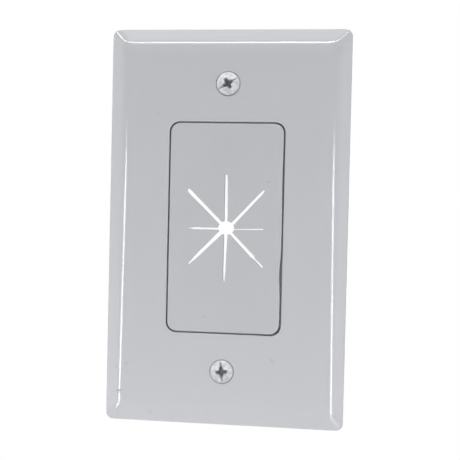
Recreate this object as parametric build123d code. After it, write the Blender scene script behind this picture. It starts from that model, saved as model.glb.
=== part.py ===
from build123d import *
import os
from math import acos, atan2, degrees, radians, sin, tan

# A split cable wall plate: a bevelled cover plate, a soft panel with a star of slits for cables,
# the frame that clamps the panel from behind, and two oval head screws. Millimetres.
# Each piece is drawn lying on the wall plane, with X across, Y up the wall and Z out of the wall.
# At the end every piece is stood up, so that +Z is up and +Y points into the wall.

# Cover plate, outside
plate_width = 70.5
plate_height = 116.0
plate_depth = 5.2
edge_height = 1.8
bevel_inset = 4.6
corner_radius = 2.0
rim_radius = 1.5
ridge_radius = 5.0
face_edge_radius = 8.0

# Cover plate, inside
plate_wall = 2.0
inner_corner_radius = 0.6
boss_diameter = 9.6
boss_height = 1.8
rib_thickness = 1.2
rib_height = 1.5
rail_thickness = 1.0
post_diameter = 2.2
stake_head_diameter = 4.0
stake_head_height = 0.9

# Opening in the plate
opening_width = 33.8
opening_height = 61.5
opening_radius = 3.0
opening_edge_chamfer = 0.25

# Slit insert
insert_gap = 0.42
insert_edge_radius = 0.4
flange_overlap = 2.3
flange_thickness = 1.0
web_thickness = 1.4
pocket_width = 27.2
pocket_height = 55.0
pocket_radius = 3.0

# Star of slits
centre_hole_diameter = 4.4
long_slit_reach = 15.5
short_slit_reach = 10.8
upright_slit_width = 0.75
diagonal_slit_width = 0.9
level_slit_width = 0.5

# Retaining frame
frame_thickness = 1.4
frame_side_overhang = 4.5
frame_end_overhang = 3.35
frame_corner_radius = 4.0
frame_edge_chamfer = 0.3
window_margin = 0.4
post_inset = 2.9
counterbore_depth = 0.5

# Mounting screws, number 6 with an oval head
screw_spacing = 83.34
screw_head_diameter = 7.0
screw_thread_diameter = 3.5
screw_neck_diameter = 2.9
screw_neck_length = 1.6
screw_length = 25.4
screw_tip_chamfer = 0.5
countersink_angle = 82.0
head_rim_height = 0.2
head_dome_height = 1.2
cross_recess_span = 3.8
cross_recess_width = 1.0
cross_recess_tip_span = 1.3
cross_recess_tip_width = 0.5
cross_recess_depth = 2.1
drive_slot_width = 0.9
drive_slot_depth = 1.1
upper_slot_angle = 31.0
lower_slot_angle = 97.0

# Clearances
screw_hole_clearance = 0.2
head_rim_clearance = 0.1
rail_clearance = 0.15
rail_relief = 0.05
post_clearance = 0.15
stake_head_clearance = 0.3

# Worked out from the sizes above
bevel_angle = atan2(plate_depth - edge_height, bevel_inset)
roof_height = plate_depth - plate_wall
flange_back = roof_height - flange_thickness
frame_back = flange_back - frame_thickness
counterbore_floor = frame_back + counterbore_depth
flange_width = opening_width + 2 * flange_overlap
flange_height = opening_height + 2 * flange_overlap
flange_radius = opening_radius + flange_overlap
frame_width = flange_width + 2 * frame_side_overhang
frame_height = flange_height + 2 * frame_end_overhang
post_x = frame_width / 2 - post_inset
post_y = frame_height / 2 - post_inset
post_places = [(x, y) for x in (-post_x, post_x) for y in (-post_y, post_y)]
screw_places = [(0, -screw_spacing / 2), (0, screw_spacing / 2)]
cone_slope = tan(radians(countersink_angle / 2))


def slab(width, height, radius, bottom, top):
    """A block with rounded corners between two heights above the wall."""
    outline = RectangleRounded(width, height, radius)
    return extrude(Pos(0, 0, bottom) * outline, top - bottom)


def cylinder_between(diameter, bottom, top):
    """An upright cylinder between two heights above the wall."""
    return extrude(Pos(0, 0, bottom) * Circle(diameter / 2), top - bottom)


def bevelled_block(inset, corner):
    """The plate's outer form, with every surface moved inwards by the inset."""
    top = plate_depth - inset
    spread = edge_height / tan(bevel_angle) - inset / sin(bevel_angle)
    foot = Rectangle(plate_width + 2 * spread, plate_height + 2 * spread)
    frustum = extrude(foot, top, taper=90 - degrees(bevel_angle))
    frustum = fillet(frustum.faces().sort_by(Axis.Z)[-1].edges(), face_edge_radius - inset)
    ridges = frustum.edges() - frustum.edges().filter_by(Plane.XY)
    frustum = fillet(ridges, ridge_radius - inset)
    sides = slab(plate_width - 2 * inset, plate_height - 2 * inset, corner, 0, top)
    return sides & frustum


def dome_arc(half_width, rise, base):
    """The outline of a dome, from its rim up to its top on the axis."""
    radius = (half_width**2 + rise**2) / (2 * rise)
    start = degrees(acos(half_width / radius))
    return CenterArc((0, base + rise - radius), radius, start, 90 - start)


def stake_post():
    """A locating post with the flat head that staking leaves on its end."""
    post = cylinder_between(post_diameter, counterbore_floor, roof_height)
    head_end = counterbore_floor - stake_head_height
    return post + cylinder_between(stake_head_diameter, head_end, counterbore_floor)


def cavity_rails():
    """The low rail round the insert's flange that centres it on the opening."""
    inner_width = flange_width + 2 * rail_clearance
    inner_height = flange_height + 2 * rail_clearance
    inner_radius = flange_radius + rail_clearance
    outer_width = inner_width + 2 * rail_thickness
    outer_height = inner_height + 2 * rail_thickness
    rail_end = flange_back + rail_relief
    outer = slab(outer_width, outer_height, inner_radius + rail_thickness, rail_end, roof_height)
    return outer - slab(inner_width, inner_height, inner_radius, rail_end, roof_height)


def boss_with_ribs(side):
    """One screw boss, with ribs from it to both side walls and to the nearest end wall."""
    boss = cylinder_between(boss_diameter, roof_height - boss_height, roof_height)
    rib_bottom = roof_height - rib_height
    cross_rib = extrude(Pos(0, 0, rib_bottom) * Rectangle(plate_width, rib_thickness), rib_height)
    end_length = (plate_height - screw_spacing) / 2
    end_rib = Rectangle(rib_thickness, end_length)
    end_rib = extrude(Pos(0, side * end_length / 2, rib_bottom) * end_rib, rib_height)
    return boss + cross_rib + end_rib


def screw_hole():
    """The clearance hole through the plate and the countersink at its front."""
    bore = cylinder_between(screw_thread_diameter + 2 * screw_hole_clearance, 0, plate_depth)
    mouth_radius = screw_head_diameter / 2 + head_rim_clearance
    cone_height = mouth_radius / cone_slope
    sink = Cone(0, mouth_radius, cone_height)
    return bore + Pos(0, 0, plate_depth - cone_height / 2) * sink


def cover_plate():
    """The moulded plate, hollow from behind, with its opening, bosses, ribs, rail and posts."""
    outside = bevelled_block(0, corner_radius)
    rim_reach = edge_height / 4
    rim = outside.edges().filter_by_position(Axis.Z, edge_height - rim_reach, edge_height + rim_reach)
    outside = fillet(rim, rim_radius)
    plate = outside - bevelled_block(plate_wall, inner_corner_radius)
    fittings = cavity_rails()
    for place in post_places:
        fittings += Pos(*place) * stake_post()
    for place, side in zip(screw_places, (-1, 1)):
        fittings += Pos(*place) * boss_with_ribs(side)
    plate += fittings & outside
    opening = slab(opening_width, opening_height, opening_radius, 0, plate_depth)
    plate -= opening
    mouth = plate.faces().sort_by(Axis.Z)[-1].inner_wires()[0]
    plate = chamfer(mouth.edges(), opening_edge_chamfer)
    for place in screw_places:
        plate -= Pos(*place) * screw_hole()
    return plate


def star_cut():
    """The centre hole and the eight slits that run out from it."""
    cut = Circle(centre_hole_diameter / 2)
    reaches = {0: short_slit_reach, 45: long_slit_reach, 90: long_slit_reach, 135: long_slit_reach}
    widths = {0: level_slit_width, 45: diagonal_slit_width, 90: upright_slit_width}
    widths[135] = diagonal_slit_width
    for angle, reach in reaches.items():
        cut += Rot(0, 0, angle) * SlotOverall(2 * reach, widths[angle])
    return cut


def slit_insert():
    """The soft panel: flush with the plate, flanged behind it, thin where the slits are."""
    panel_width = opening_width - 2 * insert_gap
    panel_height = opening_height - 2 * insert_gap
    panel = slab(panel_width, panel_height, opening_radius - insert_gap, flange_back, plate_depth)
    panel = fillet(panel.faces().sort_by(Axis.Z)[-1].edges(), insert_edge_radius)
    panel += slab(flange_width, flange_height, flange_radius, flange_back, roof_height)
    web_back = plate_depth - web_thickness
    panel -= slab(pocket_width, pocket_height, pocket_radius, flange_back, web_back)
    return panel - extrude(Pos(0, 0, web_back) * star_cut(), web_thickness)


def retaining_frame():
    """The flat frame behind the insert, with a hole and counterbore for each post."""
    frame = slab(frame_width, frame_height, frame_corner_radius, frame_back, flange_back)
    window_width = pocket_width + 2 * window_margin
    window_height = pocket_height + 2 * window_margin
    frame -= slab(window_width, window_height, pocket_radius + window_margin, frame_back, flange_back)
    frame = chamfer(frame.faces().sort_by(Axis.Z)[0].edges(), frame_edge_chamfer)
    hole = cylinder_between(post_diameter + 2 * post_clearance, frame_back, flange_back)
    recess_diameter = stake_head_diameter + 2 * stake_head_clearance
    hole += cylinder_between(recess_diameter, frame_back, counterbore_floor)
    for place in post_places:
        frame -= Pos(*place) * hole
    return frame


def screw_body(rim_height):
    """The turned outline of the screw: oval head, cone, plain neck and threaded length."""
    head_radius = screw_head_diameter / 2
    neck_radius = screw_neck_diameter / 2
    thread_radius = screw_thread_diameter / 2
    cone_top = rim_height - head_rim_height
    neck_top = cone_top - (head_radius - neck_radius) / cone_slope
    thread_top = neck_top - screw_neck_length
    tip = rim_height - screw_length
    dome = dome_arc(head_radius, head_dome_height, rim_height)
    rest = Polyline(
        dome @ 1,
        (0, tip),
        (thread_radius - screw_tip_chamfer, tip),
        (thread_radius, tip + screw_tip_chamfer),
        (thread_radius, thread_top),
        (neck_radius, thread_top),
        (neck_radius, neck_top),
        (head_radius, cone_top),
        dome @ 0,
    )
    return revolve(Plane.XZ * make_face(dome + rest), Axis.Z)


def drive_recess(top):
    """The cross recess and the slot that together take either driver."""
    floor = top - cross_recess_depth
    mouth = Pos(0, 0, top) * Rectangle(cross_recess_span, cross_recess_width)
    end = Pos(0, 0, floor) * Rectangle(cross_recess_tip_span, cross_recess_tip_width)
    wing = loft([end.face(), mouth.face()])
    slot = Rectangle(screw_head_diameter, drive_slot_width)
    slot = extrude(Pos(0, 0, top - drive_slot_depth) * slot, drive_slot_depth)
    return wing + Rot(0, 0, 90) * wing + slot


def mounting_screw(slot_angle):
    """An oval head screw seated in its countersink, with its slot turned to the angle."""
    rim_height = plate_depth - head_rim_clearance / cone_slope + head_rim_height
    recess = drive_recess(rim_height + head_dome_height)
    return screw_body(rim_height) - Rot(0, 0, slot_angle) * recess


pieces = {
    "cover_plate": cover_plate(),
    "slit_insert": slit_insert(),
    "retaining_frame": retaining_frame(),
    "lower_mounting_screw": Pos(*screw_places[0]) * mounting_screw(lower_slot_angle),
    "upper_mounting_screw": Pos(*screw_places[1]) * mounting_screw(upper_slot_angle),
}

stand_up = Rot(90, 0, 0)
os.makedirs("parts", exist_ok=True)
for name, piece in pieces.items():
    export_step(stand_up * piece, f"parts/{name}.step")
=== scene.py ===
import math
import random

import bmesh
import bpy
from mathutils import Matrix, Vector
from mathutils.geometry import delaunay_2d_cdt


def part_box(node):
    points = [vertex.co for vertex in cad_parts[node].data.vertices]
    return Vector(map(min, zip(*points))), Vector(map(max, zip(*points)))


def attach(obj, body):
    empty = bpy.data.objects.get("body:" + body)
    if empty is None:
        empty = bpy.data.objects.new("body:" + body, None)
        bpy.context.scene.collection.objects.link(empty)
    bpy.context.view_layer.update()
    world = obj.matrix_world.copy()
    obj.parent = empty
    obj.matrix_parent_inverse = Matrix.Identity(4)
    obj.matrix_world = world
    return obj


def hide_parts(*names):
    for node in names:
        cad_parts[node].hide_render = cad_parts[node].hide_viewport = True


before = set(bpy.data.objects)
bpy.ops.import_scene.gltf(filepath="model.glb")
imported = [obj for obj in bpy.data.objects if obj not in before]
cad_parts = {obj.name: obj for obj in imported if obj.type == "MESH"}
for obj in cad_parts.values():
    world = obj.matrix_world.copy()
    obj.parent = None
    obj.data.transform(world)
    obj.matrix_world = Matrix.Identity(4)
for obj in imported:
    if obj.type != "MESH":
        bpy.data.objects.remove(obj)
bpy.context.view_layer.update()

scene = bpy.context.scene
mm = 0.001

# The camera, as fitted to the plate's corners, opening and screws in the photograph
frame_pixels = 460
focal_pixels = 939.3
sensor_width = 36.0
camera_pitch = 1.403
camera_yaw = 7.92
camera_roll = 1.316
camera_offset = Vector((-0.77, -0.62, 276.8)) * mm
nearest_seen = 0.01

# Floor below the plate, which hangs as if on its wall
floor_height = -0.25
floor_radius = 0.58
floor_sides = 96
floor_level = 0.9

# Levels of the room: what a dull surface gets, and what a glossy one mirrors from each way
ambient_level = 0.2
room_level = 0.35
side_level = 1.2
high_level = 0.8
zenith_level = 1.2
low_level = 0.6

# How far the mirrored way leans to the side, up or down where each level sets in and where it is full.
# The low level sets in over one span and fades again over the next
side_span = (0.72, 1.0)
high_span = (0.1, 0.5)
zenith_span = (0.5, 0.9)
low_span = (0.12, 0.3)
low_fade_span = (0.45, 0.75)

# Lamps that light the plate and are mirrored in it: each one's ends in metres, its width and radiance
strips = (
    ("left_strip", (-0.410, -0.466, 0.056), (-0.496, -0.366, -0.190), 0.052, 17.5),
    ("right_strip", (0.412, -0.467, 0.058), (0.526, -0.324, -0.190), 0.045, 17.5),
    ("top_strip", (-0.168, -0.359, 0.519), (0.010, -0.359, 0.537), 0.038, 24.5),
)
overhead_lamps = (
    ("overhead", (-0.2, -0.07, 0.45), (0.2, -0.07, 0.45), 0.24, 1.45),
)

# Chains of lamps that the rounded edges mirror: whether dull surfaces get their light too, then each
# stop's place in metres, and the width and radiance of the lamp on from it
lamp_chains = (
    ("left_mitre", True, (
        ((-0.165, -0.327, 0.500), 0.032, 17),
        ((-0.276, -0.309, 0.461), 0.03, 18),
        ((-0.374, -0.229, 0.439), 0.03, 18),
        ((-0.412, -0.174, 0.430), 0.03, 18),
        ((-0.405, -0.110, 0.452), 0, 0),
    )),
    ("right_mitre", False, (
        ((0.007, -0.345, 0.521), 0.036, 20),
        ((0.102, -0.369, 0.488), 0.032, 24),
        ((0.230, -0.330, 0.474), 0.032, 17),
        ((0.305, -0.255, 0.478), 0, 0),
    )),
    ("low_left", False, (
        ((-0.470, -0.355, -0.170), 0.044, 15),
        ((-0.376, -0.317, -0.234), 0.034, 15),
        ((-0.288, -0.188, -0.225), 0.03, 13),
        ((-0.262, -0.135, -0.223), 0.03, 4),
        ((-0.232, -0.077, -0.222), 0, 0),
    )),
    ("low_right", False, (
        ((0.440, -0.272, -0.166), 0.035, 14),
        ((0.370, -0.262, -0.200), 0.026, 9),
        ((0.227, -0.157, -0.223), 0.02, 5),
        ((0.165, -0.116, -0.226), 0, 0),
    )),
)

# Fills that light the plate and aren't mirrored: the azimuth and elevation of each one's ends in degrees,
# their distance from the plate's centre in metres, the width and the radiance
fills = (
    ("low_fill", (-25, -42), (25, -42), 0.26, 0.1, 2.75),
    ("low_left_fill", (-70, -35), (-40, -35), 0.26, 0.1, 1.7),
    ("left_fill", (-75, -20), (-75, 20), 0.32, 0.12, 1.0),
    ("right_fill", (75, -20), (75, 20), 0.32, 0.12, 3.6),
    ("back_left_fill", (-150, 25), (-115, 25), 0.5, 0.3, 1.5),
    ("back_right_fill", (115, 25), (150, 25), 0.5, 0.3, 1.5),
    ("back_low_fill", (155, -32), (205, -32), 0.4, 0.15, 2.0),
)

# Plastics: the clouds of colour and gloss, the grain, and what a mark does to both
plastic_refraction = 1.5
cloud_scale = 60.0
cloud_detail = 3.0
cloud_roughness = 0.5
gloss_spread = (0.85, 1.15)
grain_detail = 2.0
mark_grey = (128, 128, 131)
mark_roughness = 0.6

# Zinc plating: its two greys and the grey of the shade painted in the recess and round the rim, how metallic
# it looks, and its blotches and relief
zinc_dark = (172, 173, 176)
zinc_light = (216, 217, 219)
painted_shade_grey = (156, 157, 163)
zinc_metallic = 0.6
zinc_roughness = (0.65, 0.9)
blotch_scale = 900.0
blotch_detail = 4.0
blotch_span = (0.3, 0.7)
relief_strength = 0.6
relief_depth = 0.03 * mm

# Soft panel, in millimetres: distances in front of the wall, then sizes as width, height and corner radius
panel_front = 5.2
panel_web_back = 3.8
flange_front = 3.2
panel_back = 2.2
panel_size = (32.96, 60.66, 2.75)
flange_size = (38.4, 66.1, 5.3)
pocket_size = (27.2, 55.0, 3.0)

# Rounded and chamfered edges of the panel, with the strip of face that is kept along its outer edge and
# along its cuts
front_rounding = 0.4
face_margin = 0.15
flange_chamfer = 0.12
pocket_chamfer = 0.1
lip_rounding = 0.1
lip_middle = 0.3
lip_margin = 0.08
web_chamfer = 0.05

# Where the panel's right edge draws back from the opening: the depth, height and spread of each dip, and
# of the step that runs on below its height. The left edge has only a slight wave
right_dips = ((0.40, -13.0, 4.5), (0.14, 14.0, 6.0), (0.16, -29.5, 2.2))
right_step = (0.10, -16.0, 1.5)
left_wave_depth = 0.02
left_wave_rate = 0.35

# Star of slits: its centre and centre hole, then each slit's angle, how far its line passes beside
# the centre, and its widths at distances along it
star_centre = (0.28, 0.08)
hub_radii = (2.40, 1.95)
slits = (
    (1.6, -0.47, ((2.2, 0.20), (5.1, 0.28), (8.1, 0.35), (10.9, 0.34))),
    (47.35, -0.53, ((2.0, 0.98), (5.0, 0.93), (9.0, 0.85), (12.0, 0.80), (15.5, 0.68))),
    (90.7, 0.05, ((2.0, 1.01), (9.0, 0.93), (13.0, 0.85), (15.5, 0.78))),
    (135.8, 0.16, ((2.0, 1.10), (6.5, 1.05), (9.5, 1.02), (11.5, 1.12), (15.95, 1.18))),
    (180.2, 0.29, ((2.0, 0.58), (9.7, 0.54), (10.1, 0.50), (10.5, 0.20), (11.4, 0.14))),
    (225.0, -0.12, ((2.0, 1.30), (6.0, 1.10), (10.0, 1.00), (12.3, 0.92), (13.4, 0.72), (15.5, 0.44))),
    (268.95, -0.03, ((2.0, 1.14), (5.0, 0.95), (9.0, 0.84), (12.5, 0.78), (14.4, 0.60), (15.7, 0.42))),
    (314.5, -0.08, (
        (2.0, 0.95), (9.0, 1.02), (10.8, 1.10), (11.5, 0.98), (12.1, 0.52), (13.0, 0.56), (15.6, 0.74),
    )),
)
slit_step = 0.9
slit_wobble = 0.022

# Flaps between the slits: how far a tip may stand out or lie back, how far from the star's centre that
# has died away, and the slow swell of the whole panel
flap_lift = 0.12
flap_reach = 11.0
swell_height = 0.03
swell_rates = (0.31, 0.17)
swell_start = 0.7

# The panel's mesh: steps round its corners, sides, rounding, slit tips and centre hole, the grid of its
# faces with the room that is kept round it, and how far a sharp corner of the star may be moved
corner_steps = 9
side_steps = (16, 30)
rounding_steps = 5
tip_steps = 6
hub_steps = 4
grid_step = 1.5
grid_clearance = 0.5
merge_distance = 1e-6
least_cosine = 0.6
panel_sharp_angle = 50
panel_seed = 11

# Small marks on the plate and the panel: each line's ends as places across, up and out in millimetres,
# its width and strength
plate_marks = (
    ((-31.2, -48.7, 4.4), (-29.9, -48.6, 5.1), 0.36, 0.9),
    ((-32.6, -41.0, 3.6), (-28.0, -41.0, 5.2), 0.14, 0.25),
    ((-32.3, -47.9, 3.9), (-32.2, -47.8, 3.95), 0.35, 0.18),
    ((-32.4, -49.1, 3.8), (-32.3, -49.0, 3.9), 0.35, 0.18),
    ((29.8, -48.9, 5.1), (29.8, -48.7, 5.1), 0.8, 0.06),
    ((-20.5, 32.7, 5.2), (-20.5, 33.2, 5.2), 0.55, 0.16),
    ((14.0, -37.3, 5.2), (15.1, -38.3, 5.2), 0.4, 0.36),
    ((-32.0, -41.7, 4.2), (-31.5, -41.7, 4.4), 0.45, 0.3),
    ((-28.6, -40.5, 5.15), (-28.0, -40.5, 5.2), 0.36, 0.26),
    ((-21.1, -54.8, 4.3), (-21.1, -54.3, 4.5), 0.55, 0.32),
)
panel_marks = (
    ((12.1, 13.65, 5.2), (12.7, 13.65, 5.2), 0.42, 0.34),
    ((-5.5, -25.9, 5.2), (-5.4, -25.9, 5.2), 0.65, 0.2),
)

# Screws, in millimetres: the head with its rounded rim, then the neck and the thread
head_radius = 3.37
dome_height = 1.15
rim_side = 0.28
rim_rounding = 0.06
rim_middle_inset = 0.02
rim_middle_drop = 0.01
neck_radius = 1.45
neck_front = 2.75
thread_front = 1.13
thread_radius = 1.74
thread_root = 1.33
thread_pitch = 0.794
thread_root_start = 0.75
thread_flank = 0.6
tip_chamfer = 0.5

# Drive recess: a slot and a tapered cross, with how steep their walls are
recess_blend = 0.14
slot_half_width = 0.19
slot_depth = 0.95
slot_wall_slope = 4.0
cross_depth = 2.0
cross_half_tip = 0.9
cross_half_span = 1.95
cross_half_width = 0.38
cross_narrowing = 0.2
cross_wall_slope = 4.0
upper_slot_angle = 31
lower_slot_angle = 97

# The screws' mesh, and how deep in the recess and how wide at the rim the painted shade goes
head_rings = 56
head_segments = 160
thread_segments = 40
thread_pitch_steps = 8
screw_sharp_angle = 75
recess_dark_depth = 1.0
rim_dark_width = 0.2


def new_material(name):
    """A material with an empty node tree."""
    material = bpy.data.materials.new(name)
    material.use_nodes = True
    material.node_tree.nodes.clear()
    return material


def add_node(tree, kind, **settings):
    """A new node of a kind, with its settings."""
    node = tree.nodes.new(kind)
    for key, value in settings.items():
        setattr(node, key, value)
    return node


def set_inputs(node, values):
    """Sets a node's own values where nothing is linked."""
    for key, value in values.items():
        node.inputs[key].default_value = value


def srgb(*levels):
    """A linear colour with alpha from display levels of 0 to 255."""
    linear = []
    for level in levels:
        share = level / 255
        linear.append(share / 12.92 if share < 0.04045 else ((share + 0.055) / 1.055) ** 2.4)
    return (*linear, 1.0)


def on_wall(across, up, out):
    """A place on the plate, in metres, from millimetres across, up, and out of the wall."""
    return Vector((across, -out, up)) * mm


def marked_share(tree, place, marks):
    """How marked the surface is at a place: scratches and specks, each a short line with soft edges."""
    share = None
    for start, end, width, strength in marks:
        first, way = on_wall(*start), on_wall(*end) - on_wall(*start)
        offset = add_node(tree, "ShaderNodeVectorMath", operation="SUBTRACT")
        tree.links.new(place, offset.inputs[0])
        offset.inputs[1].default_value = first
        along = add_node(tree, "ShaderNodeVectorMath", operation="DOT_PRODUCT")
        tree.links.new(offset.outputs["Vector"], along.inputs[0])
        along.inputs[1].default_value = way / way.length_squared
        held = add_node(tree, "ShaderNodeClamp")
        tree.links.new(along.outputs["Value"], held.inputs["Value"])
        nearest = add_node(tree, "ShaderNodeVectorMath", operation="SCALE")
        nearest.inputs[0].default_value = way
        tree.links.new(held.outputs["Result"], nearest.inputs["Scale"])
        gap = add_node(tree, "ShaderNodeVectorMath", operation="DISTANCE")
        tree.links.new(offset.outputs["Vector"], gap.inputs[0])
        tree.links.new(nearest.outputs["Vector"], gap.inputs[1])
        fade = add_node(tree, "ShaderNodeMapRange", interpolation_type="SMOOTHSTEP")
        set_inputs(fade, {"From Max": width * mm, "To Min": strength, "To Max": 0.0})
        tree.links.new(gap.outputs["Value"], fade.inputs["Value"])
        if share is None:
            share = fade.outputs["Result"]
        else:
            joined = add_node(tree, "ShaderNodeMath", operation="MAXIMUM")
            tree.links.new(share, joined.inputs[0])
            tree.links.new(fade.outputs["Result"], joined.inputs[1])
            share = joined.outputs["Value"]
    return share


def moulded_plastic(name, light, dark, roughness, grain_size, grain_depth, marks=()):
    """Moulded plastic: two near colours in soft clouds, uneven gloss, a fine grain and any marks."""
    material = new_material(name)
    tree = material.node_tree
    link = tree.links.new
    output = add_node(tree, "ShaderNodeOutputMaterial")
    shader = add_node(tree, "ShaderNodeBsdfPrincipled")
    set_inputs(shader, {"IOR": plastic_refraction})
    link(shader.outputs["BSDF"], output.inputs["Surface"])
    place = add_node(tree, "ShaderNodeTexCoord").outputs["Object"]

    clouds = add_node(tree, "ShaderNodeTexNoise")
    set_inputs(clouds, {"Scale": cloud_scale, "Detail": cloud_detail, "Roughness": cloud_roughness})
    link(place, clouds.inputs["Vector"])
    colour = add_node(tree, "ShaderNodeMix", data_type="RGBA")
    colour.inputs["A"].default_value = dark
    colour.inputs["B"].default_value = light
    link(clouds.outputs["Fac"], colour.inputs["Factor"])
    marked = add_node(tree, "ShaderNodeMix", data_type="RGBA")
    marked.inputs["Factor"].default_value = 0.0
    marked.inputs["B"].default_value = srgb(*mark_grey)
    link(colour.outputs["Result"], marked.inputs["A"])
    link(marked.outputs["Result"], shader.inputs["Base Color"])

    gloss = add_node(tree, "ShaderNodeMapRange")
    set_inputs(gloss, {"To Min": roughness * gloss_spread[0], "To Max": roughness * gloss_spread[1]})
    link(clouds.outputs["Fac"], gloss.inputs["Value"])
    dulled = add_node(tree, "ShaderNodeMath", operation="MULTIPLY_ADD", use_clamp=True)
    set_inputs(dulled, {0: 0.0, 1: mark_roughness})
    link(gloss.outputs["Result"], dulled.inputs[2])
    link(dulled.outputs["Value"], shader.inputs["Roughness"])
    if marks:
        share = marked_share(tree, place, marks)
        link(share, marked.inputs["Factor"])
        link(share, dulled.inputs[0])

    grain = add_node(tree, "ShaderNodeTexNoise")
    set_inputs(grain, {"Scale": 1 / grain_size, "Detail": grain_detail})
    link(place, grain.inputs["Vector"])
    bump = add_node(tree, "ShaderNodeBump")
    set_inputs(bump, {"Strength": 1.0, "Distance": grain_depth})
    link(grain.outputs["Fac"], bump.inputs["Height"])
    link(bump.outputs["Normal"], shader.inputs["Normal"])
    return material


def zinc_plating():
    """Dull bright zinc: a cool metal with uneven gloss, with shade painted darker in the recess and at the
    rim.
    """
    material = new_material("bright_zinc")
    tree = material.node_tree
    link = tree.links.new
    output = add_node(tree, "ShaderNodeOutputMaterial")
    shader = add_node(tree, "ShaderNodeBsdfPrincipled")
    set_inputs(shader, {"Metallic": zinc_metallic})
    link(shader.outputs["BSDF"], output.inputs["Surface"])
    place = add_node(tree, "ShaderNodeTexCoord").outputs["Object"]

    clouds = add_node(tree, "ShaderNodeTexNoise")
    set_inputs(clouds, {"Scale": blotch_scale, "Detail": blotch_detail})
    link(place, clouds.inputs["Vector"])
    colour = add_node(tree, "ShaderNodeMix", data_type="RGBA")
    colour.inputs["A"].default_value = srgb(*zinc_dark)
    colour.inputs["B"].default_value = srgb(*zinc_light)
    blotches = add_node(tree, "ShaderNodeMapRange")
    set_inputs(blotches, {"From Min": blotch_span[0], "From Max": blotch_span[1]})
    link(clouds.outputs["Fac"], blotches.inputs["Value"])
    link(blotches.outputs["Result"], colour.inputs["Factor"])
    # Painted shade: the colour turns to a darker grey deep in the recess, at the rim and on the cone under
    # the head, where shade falls
    painted_shade = add_node(tree, "ShaderNodeAttribute", attribute_name="painted_shade")
    altered = add_node(tree, "ShaderNodeMix", data_type="RGBA")
    altered.inputs["B"].default_value = srgb(*painted_shade_grey)
    link(colour.outputs["Result"], altered.inputs["A"])
    link(painted_shade.outputs["Fac"], altered.inputs["Factor"])
    link(altered.outputs["Result"], shader.inputs["Base Color"])
    gloss = add_node(tree, "ShaderNodeMapRange")
    set_inputs(gloss, {"To Min": zinc_roughness[0], "To Max": zinc_roughness[1]})
    link(clouds.outputs["Fac"], gloss.inputs["Value"])
    link(gloss.outputs["Result"], shader.inputs["Roughness"])
    bump = add_node(tree, "ShaderNodeBump")
    set_inputs(bump, {"Strength": relief_strength, "Distance": relief_depth})
    link(clouds.outputs["Fac"], bump.inputs["Height"])
    link(bump.outputs["Normal"], shader.inputs["Normal"])
    return material


def dress(node, material):
    """Gives a CAD node its material."""
    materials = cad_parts[node].data.materials
    materials.clear()
    materials.append(material)


def frame_points(size, inset=0.0):
    """Points round a rectangle with rounded corners, as many for each size, so that loops join up."""
    half_width, half_height, radius = (size[0] / 2 - inset, size[1] / 2 - inset, size[2] - inset)
    signs = ((1, 1), (-1, 1), (-1, -1), (1, -1))
    points = []
    for corner, (right, top) in enumerate(signs):
        centre = (right * (half_width - radius), top * (half_height - radius))
        for step in range(corner_steps + 1):
            turn = math.radians(90 * (corner + step / corner_steps))
            points.append((centre[0] + radius * math.cos(turn), centre[1] + radius * math.sin(turn)))
        next_right, next_top = signs[(corner + 1) % len(signs)]
        start = points[-1]
        if corner % 2 == 0:
            end = (next_right * (half_width - radius), start[1])
        else:
            end = (start[0], next_top * (half_height - radius))
        count = side_steps[corner % 2]
        for step in range(1, count):
            share = step / count
            points.append((start[0] + (end[0] - start[0]) * share, start[1] + (end[1] - start[1]) * share))
    return points


def width_along(widths, distance):
    """The slit's width at a distance from the star's centre."""
    for (near, wide), (far, narrow) in zip(widths, widths[1:]):
        if distance <= far:
            share = max(0.0, (distance - near) / (far - near))
            return wide + (narrow - wide) * share
    return widths[-1][1]


def hub_distance(along, beside):
    """How far along a line, that passes beside the star's centre, the edge of the centre hole lies."""
    step = Vector((along.x / hub_radii[0], along.y / hub_radii[1]))
    start = Vector((beside.x / hub_radii[0], beside.y / hub_radii[1]))
    lean = step.dot(start)
    return (math.sqrt(lean * lean - step.dot(step) * (start.dot(start) - 1)) - lean) / step.dot(step)


def slit_outline(angle, shift, widths, rng):
    """One slit's outline from the centre hole out to its round tip and back, as cut: not quite even."""
    turn = math.radians(angle)
    along, side = Vector((math.cos(turn), math.sin(turn))), Vector((-math.sin(turn), math.cos(turn)))
    reach, tip_radius = widths[-1][0], widths[-1][1] / 2
    points = []
    for sign in (-1, 1):
        start = hub_distance(along, side * (shift + sign * widths[0][1] / 2))
        count = round((reach - tip_radius - start) / slit_step)
        edge = []
        for step in range(count + 1):
            distance = start + (reach - tip_radius - start) * step / count
            wobble = rng.uniform(-slit_wobble, slit_wobble) if 0 < step < count else 0.0
            half_width = width_along(widths, distance) / 2 + wobble
            edge.append(along * distance + side * (shift + sign * half_width))
        if sign < 0:
            points += edge
            for step in range(1, tip_steps):
                round_turn = math.radians(180 * step / tip_steps - 90)
                tip = along * math.cos(round_turn) + side * math.sin(round_turn)
                points.append(along * (reach - tip_radius) + side * shift + tip * tip_radius)
        else:
            points += edge[::-1]
    return points


def star_outline(rng):
    """The closed outline of the centre hole with its slits, anticlockwise."""
    outlines = [slit_outline(angle, shift, widths, rng) for angle, shift, widths in slits]
    points = []
    for outline, following in zip(outlines, outlines[1:] + outlines[:1]):
        points += outline
        begin = math.atan2(outline[-1].y, outline[-1].x)
        stop = begin + (math.atan2(following[0].y, following[0].x) - begin) % (2 * math.pi)
        for step in range(1, hub_steps):
            lean = begin + (stop - begin) * step / hub_steps
            radius = 1 / math.hypot(math.cos(lean) / hub_radii[0], math.sin(lean) / hub_radii[1])
            points.append(Vector((math.cos(lean), math.sin(lean))) * radius)
    return [(point.x + star_centre[0], point.y + star_centre[1]) for point in points]


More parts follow.
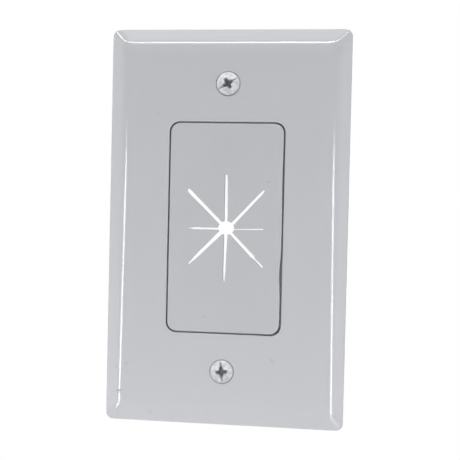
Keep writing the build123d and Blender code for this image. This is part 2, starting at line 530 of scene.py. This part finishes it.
def pushed_out(points, distance):
    """A closed anticlockwise outline moved outwards by a distance, along the bisector at each point."""
    moved = []
    for before, here, after in zip(points[-1:] + points[:-1], points, points[1:] + points[:1]):
        first = (Vector(here) - Vector(before)).normalized()
        second = (Vector(after) - Vector(here)).normalized()
        bisector = Vector((first.y + second.y, -first.x - second.x)).normalized()
        stretch = 1 / max(least_cosine, bisector.dot(Vector((first.y, -first.x))))
        moved.append((here[0] + bisector.x * distance * stretch, here[1] + bisector.y * distance * stretch))
    return moved


def inside(point, outline):
    """Whether a point lies inside a closed outline."""
    within = False
    for (ax, ay), (bx, by) in zip(outline, outline[1:] + outline[:1]):
        if (ay > point[1]) != (by > point[1]) and point[0] < ax + (bx - ax) * (point[1] - ay) / (by - ay):
            within = not within
    return within


def fill_between(mesh, outer, inner, height_at, facing_out):
    """Fills the flat between two loops of vertices with triangles on an even grid of points."""
    known = outer + inner
    loops = [[(v.co.x / mm, v.co.z / mm) for v in loop] for loop in (outer, inner)]

    def between(spot):
        return inside(spot, loops[0]) and not inside(spot, loops[1])

    points, edges = [], []
    for corners in loops:
        first = len(points)
        points += corners
        edges += [(first + k, first + (k + 1) % len(corners)) for k in range(len(corners))]
    rims = [Vector(point) for point in points]
    columns = int(max(across for across, _ in loops[0]) // grid_step)
    rows = int(max(up for _, up in loops[0]) // grid_step)
    for column in range(-columns, columns + 1):
        for row in range(-rows, rows + 1):
            spot = (column * grid_step, row * grid_step)
            if between(spot) and min((Vector(spot) - rim).length for rim in rims) >= grid_clearance:
                points.append(spot)

    spots = [Vector(point) for point in points]
    corners, _, triangles, sources = delaunay_2d_cdt(spots, edges, [], 0, merge_distance)[:4]
    verts = []
    for place, source in zip(corners, sources):
        if source and source[0] < len(known):
            verts.append(known[source[0]])
        else:
            verts.append(mesh.verts.new(on_wall(place.x, place.y, height_at(place.x, place.y))))
    for triangle in triangles:
        centre = sum((corners[k] for k in triangle), Vector((0, 0))) / len(triangle)
        if between(centre):
            order = triangle if facing_out else triangle[::-1]
            mesh.faces.new([verts[k] for k in order])


def bridge(mesh, first, second):
    """Quads from one loop of vertices to the next, with as many points."""
    for k in range(len(first)):
        following = (k + 1) % len(first)
        mesh.faces.new((first[k], first[following], second[following], second[k]))


def finished_piece(name, mesh, material, sharp_angle):
    """A new object from a bmesh, shaded smooth with sharp edges kept."""
    data = bpy.data.meshes.new(name)
    mesh.to_mesh(data)
    mesh.free()
    piece = bpy.data.objects.new(name, data)
    scene.collection.objects.link(piece)
    data.shade_smooth()
    data.set_sharp_from_angle(angle=math.radians(sharp_angle))
    data.materials.append(material)
    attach(piece, "root")
    return piece


def worn_edge(across, up):
    """How far the soft panel's edge draws back from the opening, mostly on its right side."""
    if across < 0:
        return left_wave_depth * math.sin(up * left_wave_rate)
    dips = sum(depth * math.exp(-(((up - height) / spread) ** 2)) for depth, height, spread in right_dips)
    depth, height, spread = right_step
    return dips + depth / (1 + math.exp((up - height) / spread))


def flap_height(across, up, lifts):
    """How far the cut panel stands out at a point: each flap lies a little higher or lower at its tip."""
    swell = swell_height * math.sin(across * swell_rates[0] + swell_start) * math.cos(up * swell_rates[1])
    spot = Vector((across - star_centre[0], up - star_centre[1]))
    distance = spot.length
    if distance >= flap_reach:
        return swell
    angle = math.degrees(math.atan2(spot.y, spot.x)) % 360
    flap = len(slits) - 1
    for index, (start, _, _) in enumerate(slits):
        if angle >= start:
            flap = index
    return swell + lifts[flap] * (1 - distance / flap_reach) ** 2


def soft_panel(material):
    """The soft panel with its star of slits, its flange behind the plate and its thin middle."""
    rng = random.Random(panel_seed)
    lifts = [rng.uniform(-flap_lift, flap_lift) for _ in slits]
    outline = star_outline(rng)
    mesh = bmesh.new()

    def edge_loop(size, inset, out, altered=False):
        loop = []
        for across, up in frame_points(size, inset):
            shift = worn_edge(across, up) if altered else 0.0
            loop.append(mesh.verts.new(on_wall(across - math.copysign(shift, across), up, out)))
        return loop

    def cut_loop(distance, out):
        places = pushed_out(outline, distance)
        return [mesh.verts.new(on_wall(x, y, out + flap_height(x, y, lifts))) for x, y in places]

    loops = [edge_loop(panel_size, front_rounding + face_margin, panel_front, altered=True)]
    for step in range(rounding_steps + 1):
        turn = math.radians(90 * step / rounding_steps)
        inset = front_rounding * (1 - math.sin(turn))
        out = panel_front - front_rounding * (1 - math.cos(turn))
        loops.append(edge_loop(panel_size, inset, out, altered=True))
    loops.append(edge_loop(panel_size, 0.0, flange_front, altered=True))
    rear_rings = (
        (flange_size, flange_chamfer, flange_front),
        (flange_size, 0.0, flange_front - flange_chamfer),
        (flange_size, 0.0, panel_back + flange_chamfer),
        (flange_size, flange_chamfer, panel_back),
        (pocket_size, -pocket_chamfer, panel_back),
        (pocket_size, 0.0, panel_back + pocket_chamfer),
        (pocket_size, 0.0, panel_web_back),
    )
    loops += [edge_loop(*ring) for ring in rear_rings]
    for first, second in zip(loops, loops[1:]):
        bridge(mesh, second, first)

    cut_rings = (
        (lip_rounding + lip_margin, panel_front),
        (lip_rounding, panel_front),
        (lip_rounding * lip_middle, panel_front - lip_rounding * lip_middle),
        (0.0, panel_front - lip_rounding),
        (0.0, panel_web_back + web_chamfer),
        (web_chamfer, panel_web_back),
    )
    cuts = [cut_loop(*ring) for ring in cut_rings]
    for first, second in zip(cuts, cuts[1:]):
        bridge(mesh, first, second)
    fill_between(mesh, loops[0], cuts[0], lambda x, y: panel_front + flap_height(x, y, lifts), True)
    fill_between(mesh, loops[-1], cuts[-1], lambda x, y: panel_web_back + flap_height(x, y, lifts), False)
    piece = finished_piece("soft_panel", mesh, material, panel_sharp_angle)
    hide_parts("slit_insert")


def dome_fall(across, up):
    """The height of the head's oval top, counted from its crown."""
    ball = (head_radius**2 + dome_height**2) / (2 * dome_height)
    return math.sqrt(ball * ball - across * across - up * up) - ball


def recess_floor(across, up):
    """The height of the drive recess, counted from the crown: a slot across and a tapered cross."""
    depths = [max(0.0, abs(up) - slot_half_width) * slot_wall_slope - slot_depth]
    for along, side in ((abs(across), abs(up)), (abs(up), abs(across))):
        end_wall = (along - cross_half_tip) * cross_depth / (cross_half_span - cross_half_tip)
        side_wall = (side - (cross_half_width - cross_narrowing * along)) * cross_wall_slope
        depths.append(max(0.0, end_wall, side_wall) - cross_depth)
    return min(depths)


def blended_low(first, second, blend):
    """The lower of two heights, blended where they are near each other."""
    near = max(0.0, blend - abs(first - second)) / blend
    return min(first, second) - near * near * blend / 4


def thread_height(out, turn):
    """From 0 at the root of the thread to 1 at its crest, for a right-hand helix."""
    share = (out / thread_pitch - turn / (2 * math.pi)) % 1
    from_crest = abs(share - 0.5) * 2
    return min(1.0, max(0.0, (thread_root_start - from_crest) / thread_flank))


def screw_loop(mesh, centre, segments, radius_at, out_at):
    """A loop of vertices round a screw's axis, from its radius at each turn and its height at each place."""
    loop = []
    for k in range(segments):
        turn = 2 * math.pi * k / segments
        radius = radius_at(turn)
        across, up = radius * math.cos(turn), radius * math.sin(turn)
        loop.append(mesh.verts.new(on_wall(centre[0] + across, centre[1] + up, out_at(across, up))))
    return loop


def screw_head(mesh, centre, crown, slot_angle):
    """The oval top with its recess, then the rounded rim, the cone below it and the plain neck."""
    rim = crown - dome_height
    lean = math.radians(slot_angle)

    def top_surface(across, up):
        along = across * math.cos(lean) + up * math.sin(lean)
        beside = up * math.cos(lean) - across * math.sin(lean)
        return crown + blended_low(dome_fall(across, up), recess_floor(along, beside), recess_blend)

    heart = mesh.verts.new(on_wall(*centre, top_surface(0, 0)))
    edge = None
    for ring in range(1, head_rings + 1):
        radius = (head_radius - rim_rounding) * ring / head_rings
        current = screw_loop(mesh, centre, head_segments, lambda turn: radius, top_surface)
        if edge:
            bridge(mesh, current, edge)
        else:
            for k in range(head_segments):
                mesh.faces.new((heart, current[k], current[(k + 1) % head_segments]))
        edge = current
    shank = (
        (head_radius - rim_middle_inset, rim - rim_middle_drop),
        (head_radius, rim - rim_rounding),
        (head_radius, rim - rim_side),
        (neck_radius, neck_front),
        (neck_radius, thread_front),
    )
    for radius, out in shank:
        current = screw_loop(mesh, centre, head_segments, lambda turn: radius, lambda across, up: out)
        bridge(mesh, current, edge)
        edge = current


def screw_thread(mesh, centre, tip):
    """The helical thread, which begins gradually at the neck and ends in a chamfered tip."""
    thread = None
    steps = math.ceil((thread_front - tip) / thread_pitch * thread_pitch_steps)
    for step in range(steps + 1):
        out = thread_front - (thread_front - tip) * step / steps
        begun = min(1.0, (thread_front - out) / thread_pitch)
        widest = thread_radius - max(0.0, tip_chamfer - (out - tip))

        def radius_at(turn):
            crest = thread_root + (thread_radius - thread_root) * thread_height(out, turn) * begun
            return min(widest, crest)

        current = screw_loop(mesh, centre, thread_segments, radius_at, lambda across, up: out)
        if thread:
            bridge(mesh, current, thread)
        else:
            mesh.faces.new(current)
        thread = current
    mesh.faces.new(thread[::-1])


def paint_screw_shade(mesh, centre, crown):
    """Gives each point its share of painted shade: by its depth in the recess, near the rim and on the cone.
    """
    rim = crown - dome_height
    painted_shade = mesh.verts.layers.float.new("painted_shade")
    for vert in mesh.verts:
        across, up, out = vert.co.x / mm - centre[0], vert.co.z / mm - centre[1], -vert.co.y / mm
        radius = math.hypot(across, up)
        # Painted shade: darker with depth in the recess and towards the rim, and fully dark on the cone under
        # the head
        if out > rim and radius < head_radius - rim_rounding / 2:
            depth_share = max(0.0, crown + dome_fall(across, up) - out) / recess_dark_depth
            rim_share = 1 - (head_radius - radius) / rim_dark_width
            vert[painted_shade] = min(1.0, max(0.0, depth_share, rim_share))
        elif neck_front < out < rim - rim_rounding / 2:
            vert[painted_shade] = 1.0


def mounting_screw(name, node, slot_angle, material):
    """An oval head screw with a cross and slot recess, a plain neck and a helical thread."""
    low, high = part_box(node)
    centre = ((low[0] + high[0]) / 2 / mm, (low[2] + high[2]) / 2 / mm)
    crown, tip = -low[1] / mm, -high[1] / mm
    mesh = bmesh.new()
    screw_head(mesh, centre, crown, slot_angle)
    screw_thread(mesh, centre, tip)
    paint_screw_shade(mesh, centre, crown)
    piece = finished_piece(name, mesh, material, screw_sharp_angle)
    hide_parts(node)


def smooth_share(tree, value, low, high):
    """Rises smoothly from 0 at low to 1 at high."""
    share = add_node(tree, "ShaderNodeMapRange", interpolation_type="SMOOTHSTEP")
    set_inputs(share, {"From Min": low, "From Max": high})
    tree.links.new(value, share.inputs["Value"])
    return share.outputs["Result"]


def weighted_sum(tree, base, parts):
    """A base level plus each share times its own level."""
    total = None
    for share, level in parts:
        step = add_node(tree, "ShaderNodeMath", operation="MULTIPLY_ADD")
        set_inputs(step, {1: level, 2: base})
        tree.links.new(share, step.inputs[0])
        if total is not None:
            tree.links.new(total, step.inputs[2])
        total = step.outputs[0]
    return total


def mirrored_level(tree):
    """How bright the room is in a glossy surface: dim in front, brighter to the sides, above and below."""
    link = tree.links.new
    way = add_node(tree, "ShaderNodeSeparateXYZ")
    link(add_node(tree, "ShaderNodeTexCoord").outputs["Generated"], way.inputs[0])
    sideways = add_node(tree, "ShaderNodeMath", operation="ABSOLUTE")
    link(way.outputs["X"], sideways.inputs[0])
    downwards = add_node(tree, "ShaderNodeMath", operation="MULTIPLY")
    link(way.outputs["Z"], downwards.inputs[0])
    downwards.inputs[1].default_value = -1
    low_band = add_node(tree, "ShaderNodeMath", operation="SUBTRACT")
    link(smooth_share(tree, downwards.outputs[0], *low_span), low_band.inputs[0])
    link(smooth_share(tree, downwards.outputs[0], *low_fade_span), low_band.inputs[1])
    return weighted_sum(tree, room_level, (
        (smooth_share(tree, sideways.outputs[0], *side_span), side_level),
        (smooth_share(tree, way.outputs["Z"], *high_span), high_level),
        (smooth_share(tree, way.outputs["Z"], *zenith_span), zenith_level),
        (low_band.outputs[0], low_level),
    ))


def make_world():
    """White to the camera, the room's levels to glossy surfaces, and an even dim light to dull ones."""
    world = bpy.data.worlds.new("studio")
    scene.world = world
    world.use_nodes = True
    tree = world.node_tree
    tree.nodes.clear()
    link = tree.links.new
    output = add_node(tree, "ShaderNodeOutputWorld")
    mirrored = add_node(tree, "ShaderNodeBackground")
    ambient = add_node(tree, "ShaderNodeBackground")
    white = add_node(tree, "ShaderNodeBackground")
    for background in (mirrored, ambient, white):
        set_inputs(background, {"Color": (1, 1, 1, 1), "Strength": 1.0})
    link(mirrored_level(tree), mirrored.inputs["Strength"])
    ambient.inputs["Strength"].default_value = ambient_level

    path = add_node(tree, "ShaderNodeLightPath")
    seen = add_node(tree, "ShaderNodeMath", operation="MAXIMUM")
    link(path.outputs["Is Camera Ray"], seen.inputs[0])
    link(path.outputs["Is Transmission Ray"], seen.inputs[1])
    dull_or_glossy = add_node(tree, "ShaderNodeMixShader")
    link(path.outputs["Is Glossy Ray"], dull_or_glossy.inputs["Fac"])
    link(ambient.outputs[0], dull_or_glossy.inputs[1])
    link(mirrored.outputs[0], dull_or_glossy.inputs[2])
    mix = add_node(tree, "ShaderNodeMixShader")
    link(seen.outputs[0], mix.inputs["Fac"])
    link(dull_or_glossy.outputs[0], mix.inputs[1])
    link(white.outputs[0], mix.inputs[2])
    link(mix.outputs[0], output.inputs["Surface"])


def make_floor():
    """A pale round floor well below the plate, which hangs as if on its wall."""
    bpy.ops.mesh.primitive_circle_add(
        vertices=floor_sides, radius=floor_radius, fill_type="NGON", location=(0, 0, floor_height)
    )
    floor = bpy.context.object
    floor.name = "studio_floor"
    material = new_material("pale_floor")
    tree = material.node_tree
    output = add_node(tree, "ShaderNodeOutputMaterial")
    shader = add_node(tree, "ShaderNodeBsdfDiffuse")
    set_inputs(shader, {"Color": (floor_level, floor_level, floor_level, 1)})
    tree.links.new(shader.outputs[0], output.inputs["Surface"])
    floor.data.materials.append(material)


def towards(azimuth, elevation, distance):
    """A place seen from the plate's centre. Azimuth 0 is straight in front, positive to the right."""
    turn, rise = math.radians(azimuth), math.radians(elevation)
    way = Vector((math.sin(turn) * math.cos(rise), -math.cos(turn) * math.cos(rise), math.sin(rise)))
    return distance * way


def light_panel(name, start, end, width, radiance, mirrored=True, scattered=True):
    """A rectangular lamp from one place to another, turned to face the plate's centre."""
    along = (end - start).normalized()
    middle = (start + end) / 2
    back = (middle - along * middle.dot(along)).normalized()
    axes = Matrix((along, back.cross(along), back)).transposed()
    lamp = bpy.data.lights.new(name, "AREA")
    lamp.shape = "RECTANGLE"
    lamp.size = (end - start).length
    lamp.size_y = width
    lamp.energy = radiance * math.pi * lamp.size * lamp.size_y
    holder = bpy.data.objects.new(name, lamp)
    scene.collection.objects.link(holder)
    holder.matrix_world = Matrix.Translation(middle) @ axes.to_4x4()
    holder.visible_camera = False
    holder.visible_glossy = mirrored
    holder.visible_diffuse = scattered


def lamp_chain(name, scattered, stops):
    """Lamps from each stop to the next."""
    for number, ((start, width, radiance), (end, _, _)) in enumerate(zip(stops, stops[1:]), 1):
        light_panel(f"{name}_{number}", Vector(start), Vector(end), width, radiance, scattered=scattered)


def make_lamps():
    """The strips, the chains for the rounded edges, the lamp overhead and the fills."""
    for name, start, end, width, radiance in strips:
        light_panel(name, Vector(start), Vector(end), width, radiance)
    for name, scattered, stops in lamp_chains:
        lamp_chain(name, scattered, stops)
    for name, start, end, width, radiance in overhead_lamps:
        light_panel(name, Vector(start), Vector(end), width, radiance)
    for name, start, end, distance, width, radiance in fills:
        light_panel(name, towards(*start, distance), towards(*end, distance), width, radiance, mirrored=False)


def make_camera():
    """The photograph's camera, from its fitted angles and offset."""
    wall_view = Matrix(((1, 0, 0), (0, 0, -1), (0, 1, 0)))
    turn = (
        Matrix.Rotation(math.radians(camera_roll), 3, "Z")
        @ Matrix.Rotation(math.radians(camera_pitch), 3, "X")
        @ Matrix.Rotation(math.radians(camera_yaw), 3, "Y")
        @ wall_view
    )
    lens = bpy.data.cameras.new("camera")
    lens.sensor_width = sensor_width
    lens.lens = focal_pixels / frame_pixels * sensor_width
    lens.clip_start = nearest_seen
    camera = bpy.data.objects.new("camera", lens)
    scene.collection.objects.link(camera)
    axes = Matrix((turn[0], -turn[1], -turn[2])).transposed()
    camera.matrix_world = Matrix.Translation(-(turn.transposed() @ camera_offset)) @ axes.to_4x4()
    scene.camera = camera


grey_gloss = moulded_plastic(
    "glossy_grey_plastic",
    light=srgb(190, 191, 195),
    dark=srgb(188, 189, 193),
    roughness=0.13,
    grain_size=0.9 * mm,
    grain_depth=0.0003 * mm,
    marks=plate_marks,
)
grey_soft = moulded_plastic(
    "satin_grey_elastomer",
    light=srgb(183, 184, 188),
    dark=srgb(180, 181, 185),
    roughness=0.5,
    grain_size=0.25 * mm,
    grain_depth=0.006 * mm,
    marks=panel_marks,
)
grey_matt = moulded_plastic(
    "matt_grey_plastic",
    light=srgb(183, 184, 188),
    dark=srgb(180, 181, 185),
    roughness=0.55,
    grain_size=0.3 * mm,
    grain_depth=0.008 * mm,
)
zinc = zinc_plating()
dress("cover_plate", grey_gloss)
dress("retaining_frame", grey_matt)
soft_panel(grey_soft)
mounting_screw("upper_screw", "upper_mounting_screw", upper_slot_angle, zinc)
mounting_screw("lower_screw", "lower_mounting_screw", lower_slot_angle, zinc)

make_world()
make_floor()
make_camera()
make_lamps()

scene.view_settings.view_transform = "Standard"
